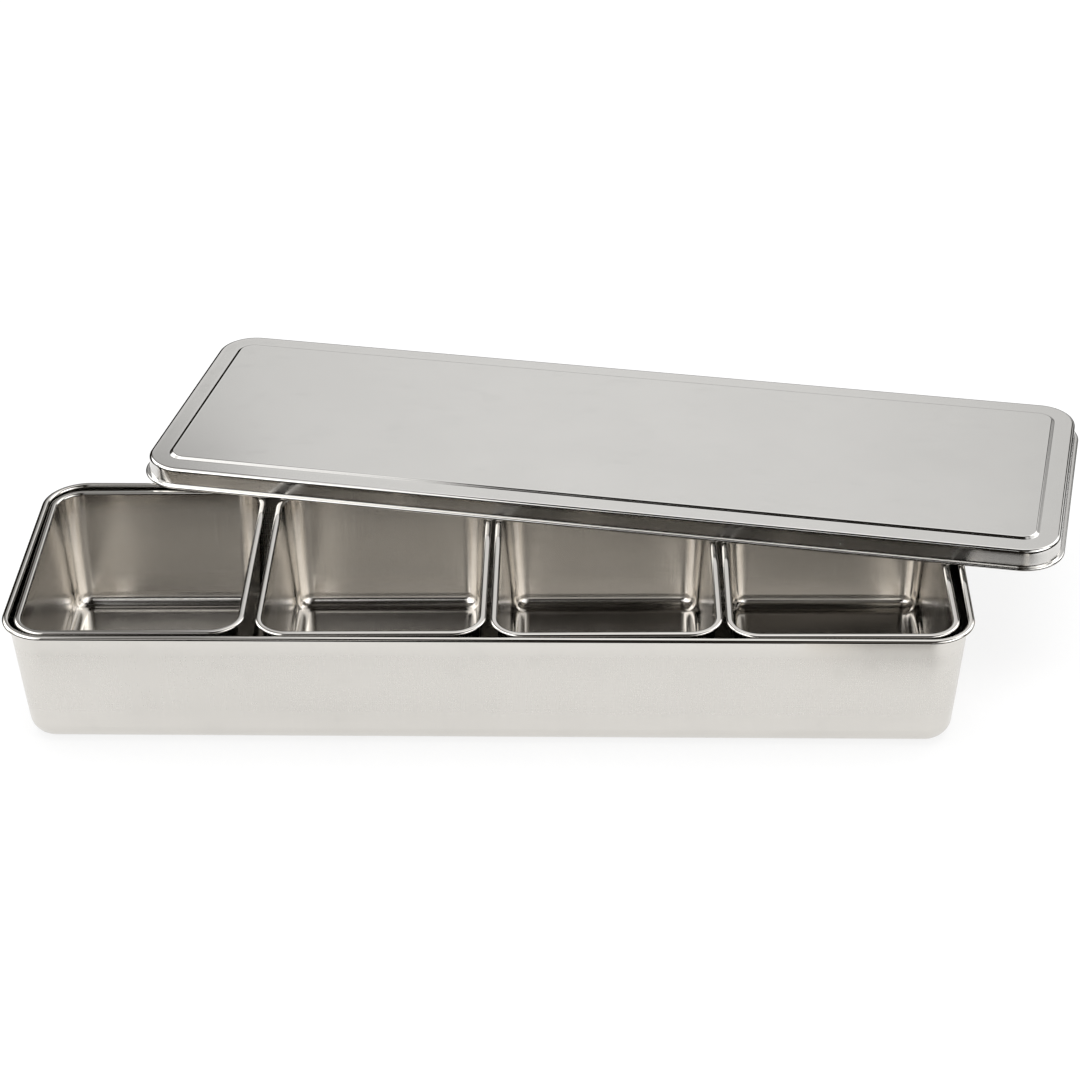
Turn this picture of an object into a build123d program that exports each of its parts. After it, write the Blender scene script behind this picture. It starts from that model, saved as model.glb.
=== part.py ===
from build123d import *
import os

# Long serving pan with four loose condiment containers and a lift-off lid, all drawn stainless steel.
# Millimetres, +Z up. The origin is the middle of the pan's underside, +X to the right, +Y to the back.
# Every piece is one sheet: a section line is given the sheet's thickness and carried round the piece.

# Pan, over the outside of its rim
pan_length = 430.0
pan_depth = 140.0
pan_height = 60.0
pan_sheet = 0.6
pan_hem_width = 2.7
pan_hem_height = 1.5
pan_lip_radius = 1.1
pan_lean = 5.5
pan_bottom_radius = 9.0
pan_floor_corner = 3.0

# Containers: the row's gaps from left to right, and each container's gap to the front and turn as it stands
container_gaps = (1.5, 4.65, 1.6, 1.8, 3.85)
container_front_gaps = (1.7, 1.6, 1.6, 1.2)
container_turns = (0.9, 0.8, 0.9, 0.5)
container_depth_play = 5.4
container_rim_drop = 0.2
container_sheet = 0.5
container_hem_width = 2.8
container_hem_height = 1.2
container_lip_radius = 1.0
container_lean_play = 1.5
container_foot_play = 2.5
container_floor_corner = 1.5

# Lid: a cap that goes over the pan's rim, with a raised panel and a hemmed flange
lid_sheet = 0.6
lid_clearance = 1.6
lid_height = 9.6
lid_corner_play = 3.0
lid_skirt_lean = 0.4
lid_edge_radius = 1.3
lid_flange_width = 2.0
lid_hem_height = 1.5
lid_bend_radius = 0.5
lid_border = 9.6
lid_panel_rise = 1.0
lid_step_run = 1.4
lid_step_radius = 0.8

# The lid as it lies askew across the back of the pan
lid_shift_right = 55.6
lid_shift_back = 28.7
lid_turn = -10.6

# Where a piece stands on another, and the gap that a folded hem keeps to its wall
seat_gap = 0.3
hem_gap = 0.4


def half_outline(half_length, half_depth, corner):
    """Left half of a rounded rectangle, from the middle of the front to the middle of the back."""
    with BuildLine(Plane.XY) as outline:
        FilletPolyline(
            (0, -half_depth),
            (-half_length, -half_depth),
            (-half_length, half_depth),
            (0, half_depth),
            radius=corner,
        )
    return outline.line


def section_plane(half_depth):
    """Upright plane at the middle of the front: its x points outwards and its y upwards."""
    return Plane(origin=(0, -half_depth, 0), x_dir=(0, -1, 0), z_dir=(-1, 0, 0))


def hem(fold_start, fold_end, return_end):
    """Edge of a flange folded under itself: half a circle down, then back towards the wall."""
    fold_centre = (fold_start[0], (fold_start[1] + fold_end[1]) / 2)
    CenterArc(fold_centre, fold_start[1] - fold_centre[1], 90, -180)
    Line(fold_end, return_end)


def drawn_tray(
    length,
    depth,
    height,
    sheet,
    hem_width,
    hem_height,
    lip_radius,
    lean,
    bottom_radius,
    floor_corner,
):
    """Deep-drawn tray with leaning walls, a round foot and a rim turned out and hemmed under."""
    half_length = length / 2 - hem_width - sheet / 2 - lean
    half_depth = depth / 2 - hem_width - sheet / 2 - lean
    foot_corner = floor_corner + bottom_radius
    rim_line = height - sheet / 2
    hem_line = height - hem_height + sheet / 2
    fold_place = lean + sheet / 2 + hem_width - hem_height / 2
    with BuildPart() as tray:
        with BuildSketch(section_plane(half_depth)):
            with BuildLine():
                FilletPolyline(
                    (-bottom_radius, sheet / 2),
                    (0, sheet / 2),
                    (lean, rim_line),
                    (fold_place, rim_line),
                    radius=(bottom_radius - sheet / 2, lip_radius),
                )
                hem((fold_place, rim_line), (fold_place, hem_line), (lean + sheet / 2 + hem_gap, hem_line))
            trace(line_width=sheet)
        sweep(path=half_outline(half_length, half_depth, foot_corner))
        mirror(about=Plane.YZ)
        with BuildSketch():
            RectangleRounded(
                2 * (half_length - bottom_radius),
                2 * (half_depth - bottom_radius),
                floor_corner,
            )
        extrude(amount=sheet)
    return tray.part


os.makedirs("parts", exist_ok=True)

# Pan
pan_form = drawn_tray(
    pan_length,
    pan_depth,
    pan_height,
    pan_sheet,
    pan_hem_width,
    pan_hem_height,
    pan_lip_radius,
    pan_lean,
    pan_bottom_radius,
    pan_floor_corner,
)
with BuildPart() as pan:
    add(pan_form)
pan.part.label = "pan"
export_step(pan.part, "parts/pan.step")

# Containers: four alike, in a row between the pan's end walls, standing on its floor
mouth_length = pan_length - 2 * (pan_hem_width + pan_sheet)
mouth_depth = pan_depth - 2 * (pan_hem_width + pan_sheet)
container_count = len(container_turns)
container_length = (mouth_length - sum(container_gaps)) / container_count
container_depth = mouth_depth - container_depth_play
container_seat = pan_sheet + seat_gap
container_height = pan_height - container_rim_drop - container_seat
container_form = drawn_tray(
    container_length,
    container_depth,
    container_height,
    container_sheet,
    container_hem_width,
    container_hem_height,
    container_lip_radius,
    pan_lean - container_lean_play,
    pan_bottom_radius - container_foot_play,
    container_floor_corner,
)
for index in range(container_count):
    name = f"container_{index + 1}"
    left_edge = -mouth_length / 2 + sum(container_gaps[: index + 1]) + index * container_length
    centre_x = left_edge + container_length / 2
    centre_y = -mouth_depth / 2 + container_front_gaps[index] + container_depth / 2
    with BuildPart() as container:
        with Locations(Location((centre_x, centre_y, container_seat), (0, 0, container_turns[index]))):
            add(container_form)
    container.part.label = name
    export_step(container.part, f"parts/{name}.step")

# Lid: section line from the raised panel over the step, the border and the skirt to the hemmed flange
pan_rim_corner = pan_floor_corner + pan_bottom_radius + pan_lean + pan_sheet / 2 + pan_hem_width
lid_corner = pan_rim_corner - lid_corner_play
lid_line_offset = lid_clearance + lid_sheet / 2 - lid_skirt_lean
lid_half_length = pan_length / 2 + lid_line_offset
lid_half_depth = pan_depth / 2 + lid_line_offset
lid_border_line = lid_height - lid_sheet / 2
lid_panel_line = lid_border_line + lid_panel_rise
lid_panel_edge = lid_border + lid_step_run + lid_step_radius
lid_flange_line = lid_hem_height - lid_sheet / 2
lid_fold_place = lid_skirt_lean + lid_sheet / 2 + lid_flange_width - lid_hem_height / 2
with BuildPart() as lid_form:
    with BuildSketch(section_plane(lid_half_depth)):
        with BuildLine():
            FilletPolyline(
                (-lid_panel_edge, lid_panel_line),
                (-lid_border - lid_step_run, lid_panel_line),
                (-lid_border, lid_border_line),
                (0, lid_border_line),
                (lid_skirt_lean, lid_flange_line),
                (lid_fold_place, lid_flange_line),
                radius=(lid_step_radius, lid_step_radius, lid_edge_radius, lid_bend_radius),
            )
            hem(
                (lid_fold_place, lid_flange_line),
                (lid_fold_place, lid_sheet / 2),
                (lid_skirt_lean + lid_sheet / 2, lid_sheet / 2),
            )
        trace(line_width=lid_sheet)
    sweep(path=half_outline(lid_half_length, lid_half_depth, lid_corner))
    mirror(about=Plane.YZ)
    with BuildSketch(Plane.XY.offset(lid_panel_line - lid_sheet / 2)):
        RectangleRounded(
            2 * (lid_half_length - lid_panel_edge),
            2 * (lid_half_depth - lid_panel_edge),
            lid_corner - lid_panel_edge,
        )
    extrude(amount=lid_sheet)

lid_place = (lid_shift_right, pan_depth / 2 + lid_shift_back, pan_height + seat_gap)
with BuildPart() as lid:
    with Locations(Location(lid_place, (0, 0, lid_turn))):
        add(lid_form.part)
lid.part.label = "lid"
export_step(lid.part, "parts/lid.step")
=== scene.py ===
import math

import bmesh
import bpy
import numpy as np
from mathutils import Matrix, Vector


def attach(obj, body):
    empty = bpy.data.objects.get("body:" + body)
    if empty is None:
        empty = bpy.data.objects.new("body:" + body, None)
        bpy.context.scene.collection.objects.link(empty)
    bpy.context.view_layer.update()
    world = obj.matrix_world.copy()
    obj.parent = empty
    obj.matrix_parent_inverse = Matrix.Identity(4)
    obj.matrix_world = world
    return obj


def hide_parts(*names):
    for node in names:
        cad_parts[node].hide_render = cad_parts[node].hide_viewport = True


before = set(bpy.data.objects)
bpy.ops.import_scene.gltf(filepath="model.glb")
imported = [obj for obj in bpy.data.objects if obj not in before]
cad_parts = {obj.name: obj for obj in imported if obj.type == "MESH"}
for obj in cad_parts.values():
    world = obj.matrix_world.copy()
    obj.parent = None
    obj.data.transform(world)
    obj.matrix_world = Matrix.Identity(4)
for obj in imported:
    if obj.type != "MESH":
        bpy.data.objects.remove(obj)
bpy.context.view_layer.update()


# Pan
# Long serving pan, drawn from one sheet of stainless steel 0.6 mm thick. Its rim is turned outwards and
# hemmed under itself, so no raw edge shows. It carries the four containers and, askew, the lid.
pan_sheet = 0.0006
pan_half_length = 0.2065
pan_half_depth = 0.0615
pan_corner = 0.012
pan_foot_radius = 0.009
pan_lean = 0.0055
pan_lip_radius = 0.0011
pan_rim_line = 0.0597
pan_rim_end = 0.00818
pan_crown = 0.00125
pan_hem_line = 0.05865
pan_hem_end = 0.0062
pan_colour = (0.7, 0.678, 0.64)
pan_roughness = 0.16

# how far the first line of points stands from a bend, and from a fold inside a hem
near_bend = 0.0003
near_fold = 0.0001

# a bend of this radius or less is bent in full, and this share of a hem's height is its tight lower fold
tight_radius = 0.0015
tight_share = 0.2


def leg(start, end, steps=6, near=near_bend):
    """Straight leg of a section, start + (end - start) * k: k is even steps, and one more close to each end.
    Each part of a section is its points, its sideways directions, and 1 where the sheet is bent."""
    start, end = np.array(start, float), np.array(end, float)
    along = end - start
    length = np.hypot(*along)
    first = min(near / length, 0.2)
    k = np.concatenate([[0.0], np.linspace(first, 1 - first, steps), [1.0]])
    sideways = np.array([-along[1], along[0]]) / length
    bent = np.clip(1 - np.minimum(k, 1 - k) * length / (2 * near), 0, 1)
    return start + k[:, None] * along, np.repeat(sideways[None], len(k), 0), bent


def bend(before, corner, after, radius, steps=10):
    """Round bend between two legs: centre + radius * (cos a, sin a), a running from leg to leg. A tight bend
    counts as bent in full, a wide one less."""
    before, corner, after = (np.array(p, float) for p in (before, corner, after))
    into = (corner - before) / np.hypot(*(corner - before))
    out = (after - corner) / np.hypot(*(after - corner))
    turn = math.atan2(into[0] * out[1] - into[1] * out[0], into @ out)
    side = math.copysign(1.0, turn)
    reach = radius * math.tan(abs(turn) / 2)
    centre = corner - reach * into + side * radius * np.array([-into[1], into[0]])
    first = math.atan2(*(corner - reach * into - centre)[::-1])
    a = first + np.linspace(0, turn, steps)
    outwards = np.stack([np.cos(a), np.sin(a)], 1)
    return centre + radius * outwards, -side * outwards, np.full(steps, min(1, tight_radius / radius))


def fold(end, top, bottom, reach, steps=14):
    """Hem: a crowned quarter ellipse from the top of the flange to its outer end, (end - reach + reach * sin a,
    low + rise * cos a), then a tight quarter circle back to the underside."""
    tight = tight_share * (top - bottom)
    low = bottom + tight
    parts = []
    for across, rise, first in [(reach, top - low, 0.0), (tight, tight, math.pi / 2)]:
        a = first + np.linspace(0, math.pi / 2, steps)
        x, z = end - across + across * np.sin(a), low + rise * np.cos(a)
        parts.append([x, z, rise * np.sin(a), across * np.cos(a)])
    x, z, out_x, out_z = np.concatenate(parts, 1)
    outwards = np.stack([out_x, out_z], 1)
    return np.stack([x, z], 1), outwards / np.hypot(out_x, out_z)[:, None], np.ones(len(x))


def folded_section(points, radii, end, top, bottom, hem_end, reach):
    """Middle line of the sheet: legs between the points, a bend at each inner point, and the hem at the end."""
    shortest_leg, same_point = 1e-5, 1e-8
    points = [np.array(p, float) for p in points] + [np.array((end - reach, top))]
    start, parts = points[0], []
    for before, corner, after, radius in zip(points, points[1:], points[2:], radii):
        arc = bend(before, corner, after, radius)
        parts += [leg(start, arc[0][0]), arc]
        start = arc[0][-1]
    if points[-1][0] - start[0] > shortest_leg:
        parts.append(leg(start, points[-1], steps=3, near=near_fold))
    parts.append(fold(end, top, bottom, reach))
    hem_start = end - tight_share * (top - bottom)
    parts.append(leg((hem_start, bottom), (hem_end, bottom), steps=3, near=near_fold))
    line, sideways, bent = (np.concatenate([part[k] for part in parts]) for k in range(3))
    fresh = np.r_[True, np.hypot(*np.diff(line, axis=0).T) > same_point]
    return line[fresh], sideways[fresh], bent[fresh]


def round_outline(half_length, half_depth, corner, corner_steps=26, long_steps=22, short_steps=12):
    """Stations round the piece: arc centres c and outward normals n, so that c + (corner + t) n is the outline
    at an outward offset t. They start and end in the middle of the back."""
    cx, cy = half_length - corner, half_depth - corner
    quarter = np.linspace(0, math.pi / 2, corner_steps)

    def run(start, end, steps, angle):
        first = near_bend / np.hypot(*np.subtract(end, start))
        k = np.linspace(first, 1 - first, steps)[:, None]
        return np.array(start) + k * np.subtract(end, start), np.full(steps, angle)

    def turn(x, y, start):
        return np.repeat([[x, y]], corner_steps, 0), start + quarter

    half = long_steps // 2
    parts = [
        (np.array([[0, cy]]), np.array([math.pi / 2])),
        run((0, cy), (-cx, cy), half, math.pi / 2),
        turn(-cx, cy, math.pi / 2),
        run((-cx, cy), (-cx, -cy), short_steps, math.pi),
        turn(-cx, -cy, math.pi),
        run((-cx, -cy), (cx, -cy), long_steps, 1.5 * math.pi),
        turn(cx, -cy, 1.5 * math.pi),
        run((cx, -cy), (cx, cy), short_steps, 0.0),
        turn(cx, cy, 0.0),
        run((cx, cy), (0, cy), half, math.pi / 2),
    ]
    centres = np.concatenate([p[0] for p in parts])
    angles = np.concatenate([p[1] for p in parts])
    return centres, np.stack([np.cos(angles), np.sin(angles)], 1)


def set_down(name, data):
    """Puts a mesh, a lamp or a camera into the scene, at the origin."""
    thing = bpy.data.objects.new(name, data)
    bpy.context.scene.collection.objects.link(thing)
    return thing


def drawn_piece(name, half_length, half_depth, corner, section, sheet, place=(0, 0, 0), turn=0.0):
    """One sheet carried round a piece: point(u, v) = c(u) + (corner + t(v)) n(u), at height z(v), where (t, z) goes
    along one face of the sheet, round its edge and back along the other. The flat middle closes both faces with
    rings that shrink from the section's first point to a line along the middle of the piece."""
    even_rings, last_even, outer_ring = 9, 0.99, 0.998
    weld_distance, sharp_angle = 1e-7, math.radians(40)
    line, sideways, bent = section
    centres, normals = round_outline(half_length, half_depth, corner)
    top, under = line + sideways * sheet / 2, line - sideways * sheet / 2
    profile = np.concatenate([top, under[::-1]])
    wall = centres[:, None] + (corner + profile[None, :, :1]) * normals[:, None]
    height = np.broadcast_to(profile[None, :, 1:], wall.shape[:2] + (1,))
    wall = np.concatenate([wall, height], 2)
    spine = np.array([max(half_length - half_depth, 0), max(half_depth - half_length, 0)])
    edge = wall[:, 0, :2]
    middle = np.clip(edge, -spine, spine)
    share = np.concatenate([np.linspace(0, last_even, even_rings), [outer_ring]])
    ring = middle[:, None] + share[None, :, None] * (edge - middle)[:, None]

    def flat(z):
        return np.concatenate([ring, np.full(ring.shape[:2] + (1,), z)], 2)

    grid = np.concatenate([flat(wall[0, 0, 2]), wall, flat(wall[0, -1, 2])[:, ::-1]], 1)
    stations, columns = grid.shape[:2]
    flats = len(share)

    # the piece's own UV map, in metres: round the piece and along the section, or across and along a flat
    girth = wall[:, len(top) // 3, :2]
    step = np.hypot(*np.diff(np.concatenate([girth, girth[:1]]), axis=0).T)
    around = np.concatenate([[0], np.cumsum(step)])
    along = np.concatenate([[0], np.cumsum(np.hypot(*np.diff(profile, axis=0).T))])
    i, j = np.meshgrid(np.arange(stations), np.arange(columns - 1), indexing="ij")
    i, j = i.ravel(), j.ravel()
    corners = np.stack([i, i + 1, i + 1, i], 1), np.stack([j, j, j + 1, j + 1], 1)
    faces = (corners[0] % stations) * columns + corners[1]
    on_flat = (j < flats) | (j >= columns - 1 - flats)
    section_place = np.clip(corners[1] - flats, 0, len(profile) - 1)
    points = grid.reshape(-1, 3)
    uv = np.where(
        on_flat[:, None, None],
        points[faces][:, :, :2],
        np.stack([around[corners[0]], along[section_place]], 2),
    )

    spin = math.radians(turn)
    turned = np.array([[math.cos(spin), -math.sin(spin), 0], [math.sin(spin), math.cos(spin), 0], [0, 0, 1]])
    mesh = bpy.data.meshes.new(name)
    mesh.from_pydata((points @ turned.T + place).tolist(), [], faces.tolist())
    layer = mesh.uv_layers.new(name="sheet_uv")
    layer.data.foreach_set("uv", uv.reshape(-1).astype(np.float32))

    # where the sheet is bent, and where it was drawn into a wall or a skirt
    no_flat = np.zeros(flats)
    drawn = abs(sideways[:, 0]) * (1 - bent)
    for mark, along_section in [("bent", bent), ("drawn", drawn)]:
        every = np.r_[no_flat, along_section, along_section[::-1], no_flat]
        every = np.broadcast_to(every, (stations, columns)).reshape(-1)
        mesh.attributes.new(mark, "FLOAT", "POINT").data.foreach_set("value", every.astype(np.float32))

    work = bmesh.new()
    work.from_mesh(mesh)
    bmesh.ops.remove_doubles(work, verts=work.verts, dist=weld_distance)
    bmesh.ops.recalc_face_normals(work, faces=work.faces)
    if work.calc_volume(signed=True) < 0:
        bmesh.ops.reverse_faces(work, faces=work.faces)
    for face in work.faces:
        face.smooth = True
    work.to_mesh(mesh)
    work.free()
    mesh.set_sharp_from_angle(angle=sharp_angle)
    return set_down(name, mesh)


def feed(tree, target, sockets):
    """Fills a node's sockets, by name or number: an output is linked, anything else is set."""
    for socket, value in sockets.items():
        if isinstance(value, bpy.types.NodeSocket):
            tree.links.new(value, target.inputs[socket])
        else:
            target.inputs[socket].default_value = value


def node(tree, kind, *inputs, sockets=(), **settings):
    """New node with its settings, its first inputs in order, and any others by name."""
    new = tree.nodes.new(kind)
    for setting, value in settings.items():
        setattr(new, setting, value)
    feed(tree, new, {**dict(enumerate(inputs)), **dict(sockets)})
    return new


def stretched_noise(tree, place, density, detail, roughness=0.5):
    """Noise over a place given in metres, with so many changes per metre along each direction."""
    scaled = node(tree, "ShaderNodeVectorMath", place, density, operation="MULTIPLY").outputs[0]
    sockets = {"Vector": scaled, "Scale": 1, "Detail": detail, "Roughness": roughness}
    return node(tree, "ShaderNodeTexNoise", sockets=sockets).outputs[0]


def spread(tree, value, low, high, to_low, to_high):
    """Takes low..high to to_low..to_high, and holds the ends."""
    return node(tree, "ShaderNodeMapRange", value, low, high, to_low, to_high).outputs[0]


def sums(tree, operation, *values):
    """Adds or multiplies values in turn."""
    total = values[0]
    for value in values[1:]:
        total = node(tree, "ShaderNodeMath", total, value, operation=operation).outputs[0]
    return total


# The sheet's finish, shared by all pieces: rolled grain along it, marks of the drawing down its walls, cloudy
# patches, faint smudges from handling, and bends that are polished bright. Densities are changes per metre,
# along the sheet and across it; the rest is what each adds to the steel's colour, roughness and relief.
grain_density = (45, 2600, 1)
grain_colour, grain_roughness, grain_relief = 0.012, 0.06, 0.006
mark_density = (1500, 30, 1)
mark_colour, mark_roughness, mark_relief = 0.012, 0.1, 0.008
patch_density = (22, 22, 22)
patch_colour, patch_roughness = (0.97, 1.01), (0.9, 1.1)
smudge_density = (70, 95, 80)
smudge_colour, smudge_roughness = -0.015, 0.12
smudge_start, smudge_full = 0.56, 0.72
bent_colour, bent_polish = 0.02, 0.3
drawn_roughness = 0.7
noise_low, noise_high = 0.3, 0.7

steel_surface = bpy.data.node_groups.new("steel_surface", "ShaderNodeTree")
for label, kind, side in [
    ("Sheet Place", "NodeSocketVector", "INPUT"),
    ("Place", "NodeSocketVector", "INPUT"),
    ("Bent", "NodeSocketFloat", "INPUT"),
    ("Drawn", "NodeSocketFloat", "INPUT"),
    ("Steel Colour", "NodeSocketColor", "INPUT"),
    ("Steel Roughness", "NodeSocketFloat", "INPUT"),
    ("Colour", "NodeSocketColor", "OUTPUT"),
    ("Roughness", "NodeSocketFloat", "OUTPUT"),
    ("Height", "NodeSocketFloat", "OUTPUT"),
]:
    steel_surface.interface.new_socket(name=label, in_out=side, socket_type=kind)
given = steel_surface.nodes.new("NodeGroupInput").outputs
made = steel_surface.nodes.new("NodeGroupOutput")
grain = stretched_noise(steel_surface, given["Sheet Place"], grain_density, 2)
draw_marks = stretched_noise(steel_surface, given["Sheet Place"], mark_density, 2)
patches = stretched_noise(steel_surface, given["Place"], patch_density, 2)
smudges = stretched_noise(steel_surface, given["Place"], smudge_density, 3, 0.6)
smudged = spread(steel_surface, smudges, smudge_start, smudge_full, 0, 1)
draw_marks = spread(steel_surface, draw_marks, noise_low, noise_high, -1, 1)
marks = sums(steel_surface, "MULTIPLY", draw_marks, given["Drawn"])
streaks = spread(steel_surface, grain, noise_low, noise_high, -1, 1)
shade = sums(
    steel_surface,
    "ADD",
    spread(steel_surface, patches, noise_low, noise_high, *patch_colour),
    sums(steel_surface, "MULTIPLY", streaks, grain_colour),
    sums(steel_surface, "MULTIPLY", marks, mark_colour),
    sums(steel_surface, "MULTIPLY", smudged, smudge_colour),
    sums(steel_surface, "MULTIPLY", given["Bent"], bent_colour),
)
shaded = {0: given["Steel Colour"], "Scale": shade}
polish = spread(steel_surface, given["Bent"], 0, 1, 1, bent_polish)
uneven = sums(
    steel_surface,
    "ADD",
    spread(steel_surface, patches, noise_low, noise_high, *patch_roughness),
    sums(steel_surface, "MULTIPLY", smudged, smudge_roughness),
    sums(steel_surface, "MULTIPLY", streaks, grain_roughness),
    sums(steel_surface, "MULTIPLY", marks, mark_roughness),
    sums(steel_surface, "MULTIPLY", given["Drawn"], drawn_roughness),
)
waves = sums(
    steel_surface,
    "ADD",
    patches,
    sums(steel_surface, "MULTIPLY", streaks, grain_relief),
    sums(steel_surface, "MULTIPLY", marks, mark_relief),
)
finish = {
    "Colour": node(steel_surface, "ShaderNodeVectorMath", sockets=shaded, operation="SCALE").outputs[0],
    "Roughness": sums(steel_surface, "MULTIPLY", given["Steel Roughness"], polish, uneven),
    "Height": waves,
}
feed(steel_surface, made, finish)


def sheet_steel(name, roughness, colour, waviness=0.00002):
    """Stainless sheet with the shared finish, in this piece's colour and roughness; waviness is in metres."""
    steel = bpy.data.materials.new(name)
    steel.use_nodes = True
    tree = steel.node_tree
    known = {
        "Sheet Place": node(tree, "ShaderNodeUVMap", uv_map="sheet_uv").outputs[0],
        "Place": node(tree, "ShaderNodeTexCoord").outputs["Object"],
        "Bent": node(tree, "ShaderNodeAttribute", attribute_name="bent").outputs["Fac"],
        "Drawn": node(tree, "ShaderNodeAttribute", attribute_name="drawn").outputs["Fac"],
        "Steel Colour": (*colour, 1),
        "Steel Roughness": roughness,
    }
    surface = node(tree, "ShaderNodeGroup", sockets=known, node_tree=steel_surface).outputs
    relief = {"Strength": 1, "Distance": waviness, "Height": surface["Height"]}
    looks = {
        "Metallic": 1,
        "Base Color": surface["Colour"],
        "Roughness": surface["Roughness"],
        "Normal": node(tree, "ShaderNodeBump", sockets=relief).outputs[0],
    }
    feed(tree, tree.nodes["Principled BSDF"], looks)
    return steel


pan_section = folded_section(
    [
        (-pan_foot_radius, pan_sheet / 2),
        (0, pan_sheet / 2),
        (pan_lean, pan_rim_line),
    ],
    [pan_foot_radius - pan_sheet / 2, pan_lip_radius],
    pan_rim_end,
    pan_rim_line,
    pan_hem_line,
    pan_hem_end,
    pan_crown,
)
pan = drawn_piece("pan_shell", pan_half_length, pan_half_depth, pan_corner, pan_section, pan_sheet)
pan.data.materials.append(sheet_steel("pan_steel", pan_roughness, pan_colour))
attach(pan, "pan")
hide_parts("pan")


# Containers
# Four loose containers, each drawn from 0.5 mm stainless sheet in the same way as the pan, with a tighter
# foot and a polished inside. They stand in a row on the pan's floor, each a little out of line.
container_sheet = 0.0005
container_half_length = 0.0442
container_half_depth = 0.05695
container_corner = 0.008
container_foot_radius = 0.0065
container_lean = 0.004
container_lip_radius = 0.001
container_rim_line = 0.05865
container_rim_end = 0.00678
container_crown = 0.0011
container_hem_line = 0.05795
container_hem_end = 0.00465
container_colour = (0.665, 0.642, 0.608)
container_roughness = 0.13

# where each one stands, from left to right: its middle and its turn in degrees
container_seat = 0.0009
container_places = [
    (-0.15895, -0.0010, 0.9),
    (-0.0518, -0.0011, 0.8),
    (0.0523, -0.0011, 0.9),
    (0.1566, -0.0015, 0.5),
]

container_section = folded_section(
    [
        (-container_foot_radius, container_sheet / 2),
        (0, container_sheet / 2),
        (container_lean, container_rim_line),
    ],
    [container_foot_radius - container_sheet / 2, container_lip_radius],
    container_rim_end,
    container_rim_line,
    container_hem_line,
    container_hem_end,
    container_crown,
)
container_steel = sheet_steel("container_steel", container_roughness, container_colour)
for number, (x, y, turn) in enumerate(container_places, 1):
    container = drawn_piece(
        f"container_{number}_shell",
        container_half_length,
        container_half_depth,
        container_corner,
        container_section,
        container_sheet,
        place=(x, y, container_seat),
        turn=turn,
    )
    container.data.materials.append(container_steel)
    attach(container, f"container_{number}")
    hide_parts(f"container_{number}")


# Lid
# Lift-off cover pressed from 0.6 mm stainless sheet: a raised panel inside a flat border, a low skirt that
# goes over the pan's rim, and a narrow flange hemmed under. It lies askew across the back of the pan.
lid_sheet = 0.0006
lid_half_length = 0.2165
lid_half_depth = 0.0715
lid_corner = 0.0175
lid_panel_line = 0.0103
lid_border_line = 0.0093
lid_border = 0.0096
lid_step_run = 0.0014
lid_step_radius = 0.0008
lid_edge_radius = 0.0013
lid_skirt_lean = 0.0004
lid_flange_line = 0.0012
lid_flange_radius = 0.0005
lid_flange_end_line = 0.0011
lid_rim_end = 0.00236
lid_crown = 0.0005
lid_hem_line = 0.0003
lid_hem_end = 0.0007
lid_colour = (0.69, 0.678, 0.655)
lid_roughness = 0.14
lid_place = (0.0556, 0.0987, 0.0603)
lid_turn = -10.6

lid_section = folded_section(
    [
        (-lid_border - lid_step_run - lid_step_radius, lid_panel_line),
        (-lid_border - lid_step_run, lid_panel_line),
        (-lid_border, lid_border_line),
        (0, lid_border_line),
        (lid_skirt_lean, lid_flange_line),
    ],
    [lid_step_radius, lid_step_radius, lid_edge_radius, lid_flange_radius],
    lid_rim_end,
    lid_flange_end_line,
    lid_hem_line,
    lid_hem_end,
    lid_crown,
)
lid = drawn_piece(
    "lid_shell",
    lid_half_length,
    lid_half_depth,
    lid_corner,
    lid_section,
    lid_sheet,
    place=lid_place,
    turn=lid_turn,
)
lid.data.materials.append(sheet_steel("lid_steel", lid_roughness, lid_colour))
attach(lid, "lid")
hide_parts("lid")


# Studio
# A white table under a wide soft lamp. Round it stands a light tent that only gloss sees, with softboxes, white
# paper and black cloth, as metalware is photographed: their edges give the rims and walls their fine lines.
table_reach = 8
table_level = -0.0002
table_grey = 0.25
table_glow = 0.79
room_light = 0.85


def background_share(tree):
    """1 for rays from the camera, a gloss or a glass, and 0 for light that falls on the table."""
    path = node(tree, "ShaderNodeLightPath").outputs
    seen = sums(tree, "ADD", path["Is Camera Ray"], path["Is Glossy Ray"])
    every = node(tree, "ShaderNodeMath", seen, path["Is Transmission Ray"], operation="ADD", use_clamp=True)
    return every.outputs[0]


table_mesh = bpy.data.meshes.new("floor")
table_corners = [(x * table_reach, y * table_reach, table_level) for x, y in [(-1, -1), (1, -1), (1, 1), (-1, 1)]]
table_mesh.from_pydata(table_corners, [], [(0, 1, 2, 3)])
table_paint = bpy.data.materials.new("floor_paint")
table_paint.use_nodes = True
tree = table_paint.node_tree
table_looks = {
    "Base Color": (table_grey, table_grey, table_grey, 1),
    "Roughness": 1,
    "Specular IOR Level": 0,
    "Emission Color": (1, 1, 1, 1),
    "Emission Strength": sums(tree, "MULTIPLY", background_share(tree), table_glow),
}
feed(tree, tree.nodes["Principled BSDF"], table_looks)
table_mesh.materials.append(table_paint)
set_down("floor", table_mesh)

# the room lights the table with a little less than the white that the camera sees behind it
room = bpy.data.worlds.new("studio")
bpy.context.scene.world = room
room.use_nodes = True
tree = room.node_tree
feed(tree, tree.nodes["Background"], {"Color": (1, 1, 1, 1), "Strength": room_light})
white = node(tree, "ShaderNodeBackground", sockets={"Color": (1, 1, 1, 1), "Strength": 1})
shades = background_share(tree), tree.nodes["Background"].outputs[0], white.outputs[0]
feed(tree, tree.nodes["World Output"], {"Surface": node(tree, "ShaderNodeMixShader", *shades).outputs[0]})


def rising(value, start, end):
    """0 before start, 1 past end, and straight between them."""
    return np.clip((value - start) / (end - start), 0, 1)


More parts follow.
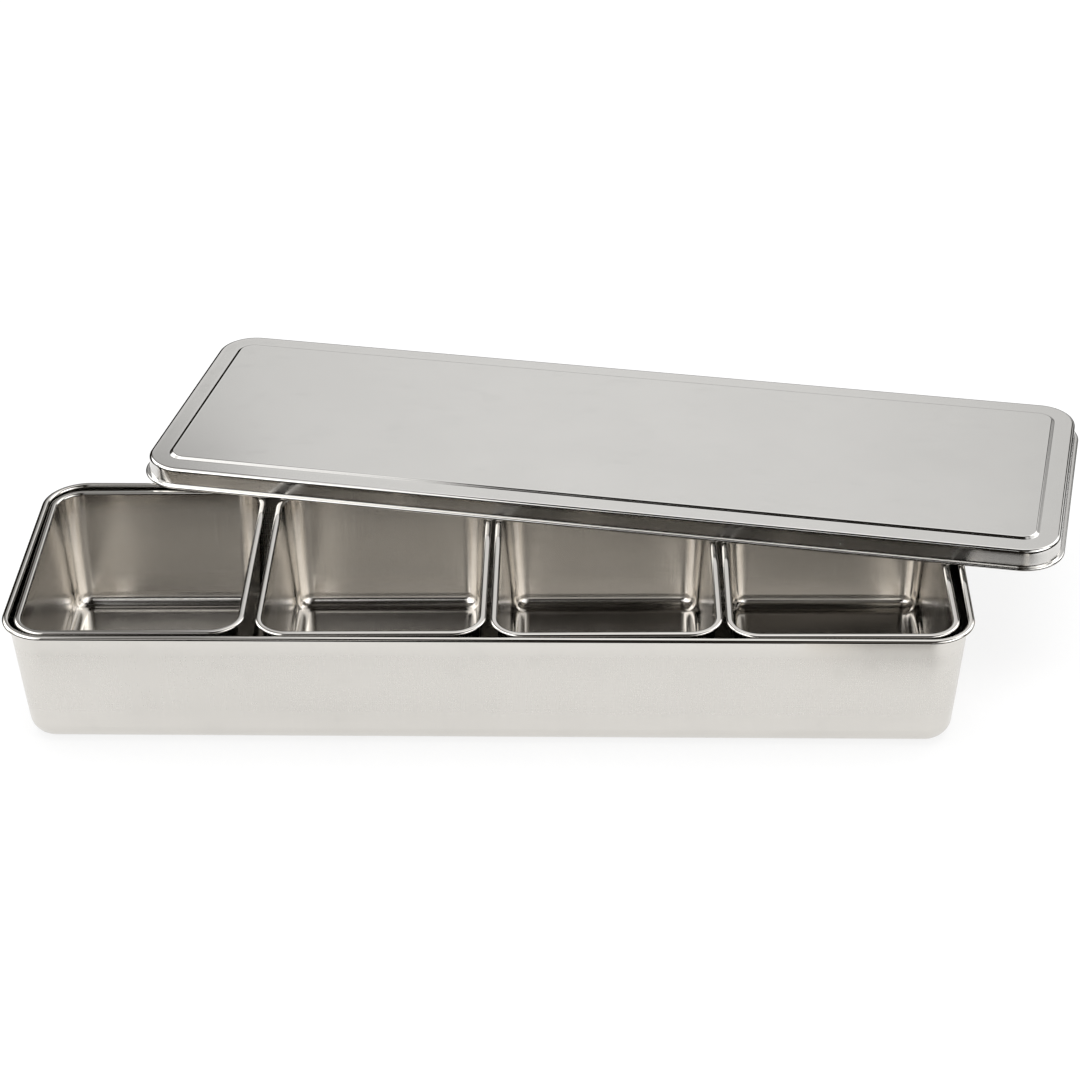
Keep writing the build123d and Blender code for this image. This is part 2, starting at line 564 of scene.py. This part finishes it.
def band(value, start, full, fading, end):
    """0 outside start..end, 1 from full to fading, and straight between them."""
    return rising(value, start, full) * rising(value, end, fading)


def covered(glow, share, cover):
    """Brightness with a cover hung before it: glow + share * (cover - glow)."""
    return glow + share * (cover - glow)


def tent_glow(direction):
    """Brightness of the light tent seen from the pan, as red, green and blue. over is the angle over the top, from
    the front of the table (0) to its back (180), and x runs from left (-1) to right (1)."""
    x, y, z = direction
    over = np.degrees(np.arctan2(z, -y))

    # black cloth, lighter towards the right, with a grey card low on the right
    lighter = np.interp(x, [0.03, 0.11, 0.2], [0, 0.12, 0.16])
    grey_card = 0.6
    glow = np.interp(over, [0, 34, 60, 100, 160, 180], [0.01, 0.01, 0.02, 0.01, 0.02, 0.02])
    glow = glow + band(over, 33, 38, 50, 66) * lighter
    glow = glow + rising(x, 0.12, 0.2) * band(over, 16, 22, 30, 36) * grey_card

    # white paper at the back with a grey patch and black edges, and brighter paper past them
    paper = np.interp(
        x,
        [-0.6, -0.54, -0.5, -0.34, -0.29, -0.25, -0.2, 0, 0.1, 0.2, 0.28, 0.4],
        [1.1, 0.9, 0.02, 0.02, 0.5, 0.82, 0.86, 0.92, 0.89, 0.8, 0.7, 1.7],
    )
    patch = np.interp(x, [-0.22, -0.19], [0.24, 0.42])
    paper = covered(paper, band(x, -0.3, -0.26, -0.185, -0.165) * rising(over, 151.5, 150), patch)
    paper_top = np.interp(x, [-0.38, -0.32], [146.5, 140])
    paper_foot = np.interp(x, [-0.25, -0.15, 0.28, 0.32, 0.5, 0.55], [157, 163, 163, 150, 150, 163])
    glow = covered(glow, band(over, paper_top - 4, paper_top + 2, paper_foot - 5, paper_foot), paper)

    # softbox overhead, a little behind the pan, whose front edge comes forward on the left
    box = np.interp(
        x,
        [-1, -0.6, -0.42, -0.3, -0.1, 0, 0.15, 0.3, 0.42, 0.6, 1],
        [3, 3.2, 1.7, 1.15, 1.2, 1.4, 1.35, 1, 2, 3.6, 3.2],
    )
    dimmed = 0.25
    box = covered(box, band(x, -0.44, -0.36, -0.2, -0.12) * rising(over, 100, 120), dimmed)
    front_edge = np.interp(x, [-0.5, -0.3, -0.27, -0.24, -0.12], [24, 38, 75, 98, 109])
    glow = covered(glow, band(over, front_edge - 6, front_edge + 6, paper_top - 3, paper_top + 3), box)

    # softer cloth before its two ends, and shade at the far right
    end_cloth = 1.1
    shade = 0.25
    glow = covered(glow, rising(abs(x), 0.5, 0.6) * band(over, 82, 90, 110, 118), end_cloth)
    glow = covered(glow, rising(x, 0.76, 0.82) * rising(over, 84, 92), shade)

    # tall softboxes on the left and right
    left_box = 2.7
    left_foot = np.interp(x, [-0.7, -0.5], [8, 22])
    right_box = np.interp(x, [0.4, 0.55, 0.62, 0.7], [1.2, 1.5, 3.2, 2.6])
    glow = covered(glow, rising(x, -0.42, -0.52) * band(over, left_foot, left_foot + 8, 80, 88), left_box)
    glow = covered(glow, rising(x, 0.28, 0.42) * band(over, 24, 34, 80, 88), right_box)

    # two narrow strip lights above the camera
    low_strip = np.interp(x, [-0.5, -0.44, -0.32, -0.27, -0.11, -0.07, -0.03], [0, 1.6, 1.6, 2.3, 2.8, 1, 0.1])
    high_strip = np.interp(x, [-0.29, -0.26, -0.17, -0.13], [0, 0.9, 0.8, 0])
    glow = glow + band(over, 44.6, 45.6, 48, 50) * low_strip
    glow = glow + band(over, 53, 56, 60, 63) * high_strip

    # what is dark is warm: black cloth gives back less green and less blue
    warm = rising(glow, 0.3, 0)
    less_green, less_blue = 0.12, 0.26
    colours = [glow, glow * (1 - less_green * warm), glow * (1 - less_blue * warm), np.ones_like(glow)]
    return np.stack(colours, -1)


def stage_cloth(name, points, glow):
    """Lit or dark cloth that only gloss sees: a grid of points, each with its own brightness."""
    rows, columns = points.shape[:2]
    i, j = np.meshgrid(np.arange(rows - 1), np.arange(columns - 1), indexing="ij")
    faces = np.stack([i, i + 1, i + 1, i], -1) * columns + np.stack([j, j, j + 1, j + 1], -1)
    mesh = bpy.data.meshes.new(name)
    mesh.from_pydata(points.reshape(-1, 3).tolist(), [], faces.reshape(-1, 4).tolist())
    shine = mesh.attributes.new("glow", "FLOAT_COLOR", "POINT")
    shine.data.foreach_set("color", glow.reshape(-1).astype(np.float32))
    cloth = set_down(name, mesh)
    cloth.visible_camera = cloth.visible_shadow = cloth.visible_diffuse = False
    paint = bpy.data.materials.new(name)
    paint.use_nodes = True
    paint.cycles.emission_sampling = "NONE"
    tree = paint.node_tree
    looks = {
        "Base Color": (0, 0, 0, 1),
        "Roughness": 1,
        "Specular IOR Level": 0,
        "Emission Strength": 1,
        "Emission Color": node(tree, "ShaderNodeAttribute", attribute_name="glow").outputs["Color"],
    }
    feed(tree, tree.nodes["Principled BSDF"], looks)
    mesh.materials.append(paint)


# the tent, a dome over the table: (R cos e cos b, R cos e sin b, R sin e), b the bearing and e the elevation
tent_radius = 3.5
tent_middle = (0.03, 0, 0)
b, e = np.meshgrid(np.radians(np.linspace(0, 360, 361)), np.radians(np.linspace(0, 90, 136)), indexing="ij")
dome = np.stack([np.cos(e) * np.cos(b), np.cos(e) * np.sin(b), np.sin(e)], -1)
stage_cloth("light_tent", tent_radius * dome + tent_middle, tent_glow(np.moveaxis(dome, -1, 0)))

# black cloth that lies on the table round the pan and rises just outside the picture, with a light piece
# behind on the right: (middle x + reach x cos b, middle y + reach y sin b, h)
cloth_black = np.array([0.012, 0.01, 0.008])
cloth_light = 0.65
cloth_middle = (0.03, 0.05)
cloth_x, cloth_y, cloth_h = np.array([[0.6, 0.85, 0.85], [0.21, 0.8, 0.8], [0.0005, 0.0005, 0.28]])
b, k = np.meshgrid(np.linspace(0, 2 * np.pi, 145), np.arange(3), indexing="ij")
cloth_place = [cloth_middle[0] + cloth_x[k] * np.cos(b), cloth_middle[1] + cloth_y[k] * np.sin(b), cloth_h[k]]
light_piece = band(b, 0.2, 0.3, 1.05, 1.15) * (k > 1)
cloth_glow = cloth_black + light_piece[..., None] * cloth_light
cloth_glow = np.concatenate([cloth_glow, np.ones_like(cloth_glow[..., :1])], -1)
stage_cloth("low_cloth", np.stack(cloth_place, -1), cloth_glow)

# painted dark reflection: a small dark card on the table, in front of the pan's right end, fading out to both sides
# only gloss sees it: it paints a dark reflection into the right end of the lid's skirt, where the camera sees white
# table
card_level = 0.0006
card_tint = (1, 0.95, 0.88)
painted_reflection_shade = np.array([[1, 1, 1], [0.03, 0.03, 0.5], [0.05, 0.05, 0.5], [1, 1, 1]])
x, y = np.meshgrid([0.145, 0.175, 0.24, 0.29], [-0.2, -0.14, -0.125], indexing="ij")
painted_reflection_glow = np.concatenate([painted_reflection_shade[..., None] * card_tint, np.ones(painted_reflection_shade.shape + (1,))], -1)
stage_cloth("painted_dark_reflection", np.stack([x, y, np.full_like(x, card_level)], -1), painted_reflection_glow)

# the lamp that lights the table and gives the pan its soft shadow
lamp = bpy.data.lights.new("overhead_softbox", "AREA")
lamp.shape = "RECTANGLE"
lamp.size, lamp.size_y, lamp.energy = 2.4, 1.6, 20
softbox = set_down("overhead_softbox", lamp)
softbox.location = (0, 0.1, 2.2)
softbox.visible_glossy = False


# Camera
# Long lens on a stand in front of the table and above it, a little right of the pan's middle. It looks about
# 30 degrees down, is turned a little to the left, and hangs slightly askew. Angles are in radians.
camera_place = (0.0649144, -1.1269759, 0.7320341)
camera_yaw, camera_pitch, camera_roll = 0.0376, 0.5311, 0.0158
lens_length, film_width = 95.974, 36

right = Vector((math.cos(camera_yaw), math.sin(camera_yaw), 0))
level = Vector((-math.sin(camera_yaw), math.cos(camera_yaw), 0))
ahead = level * math.cos(camera_pitch) - Vector((0, 0, math.sin(camera_pitch)))
below = ahead.cross(right)
across = right * math.cos(camera_roll) + below * math.sin(camera_roll)
down = below * math.cos(camera_roll) - right * math.sin(camera_roll)
aim = Matrix([(across[k], -down[k], -ahead[k]) for k in range(3)])

lens = bpy.data.cameras.new("camera")
lens.lens = lens_length
lens.sensor_width = film_width
lens.clip_end = 100
camera = set_down("camera", lens)
camera.matrix_world = Matrix.Translation(camera_place) @ aim.to_4x4()
bpy.context.scene.camera = camera
bpy.context.scene.view_settings.view_transform = "Standard"
